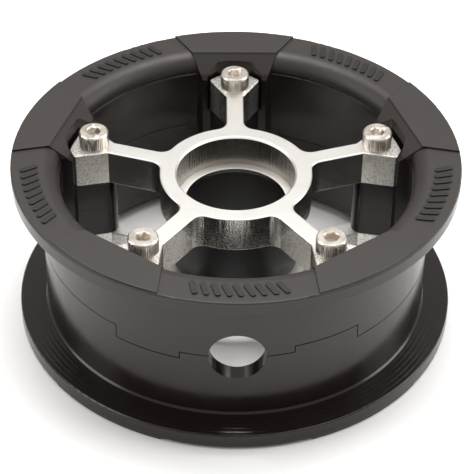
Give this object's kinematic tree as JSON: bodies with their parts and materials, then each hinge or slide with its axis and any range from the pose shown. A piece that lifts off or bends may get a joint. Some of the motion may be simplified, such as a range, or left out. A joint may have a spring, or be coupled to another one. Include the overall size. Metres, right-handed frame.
{
  "type": "split rim wheel hub",
  "caption": "Small split wheel hub for a pneumatic tyre: black moulded rim halves bolted together between spoked aluminium stars with bearing seats.",
  "frame": {"origin": "centre of the wheel: on the axle line, midway between the outer faces of the two flanges", "axes": "+Z along the axle towards the screw heads, valve hole towards -Y, a spoke along +Y"},
  "size_m": [0.1054, 0.1054, 0.0444],
  "materials": {
    "moulded_nylon": "semi-matt glass-filled nylon, moulded",
    "star_aluminium": "milled and tumbled, bright",
    "sleeve_nylon": "smooth",
    "stainless_steel": "bright, knurled heads",
    "zinc_plated_steel": "zinc plated",
    "insert_nylon": "smooth"
  },
  "bodies": {
    "root": {"outer_rim_half": "moulded_nylon", "inner_rim_half": "moulded_nylon", "outer_star": "star_aluminium", "inner_star": "star_aluminium", "centre_sleeve": "sleeve_nylon", "socket_screw_1": "stainless_steel", "socket_screw_2": "stainless_steel", "socket_screw_3": "stainless_steel", "socket_screw_4": "stainless_steel", "socket_screw_5": "stainless_steel", "lock_nut_1": "zinc_plated_steel", "lock_nut_2": "zinc_plated_steel", "lock_nut_3": "zinc_plated_steel", "lock_nut_4": "zinc_plated_steel", "lock_nut_5": "zinc_plated_steel", "nut_insert_1": "insert_nylon", "nut_insert_2": "insert_nylon", "nut_insert_3": "insert_nylon", "nut_insert_4": "insert_nylon", "nut_insert_5": "insert_nylon"}
  },
  "joints": []
}
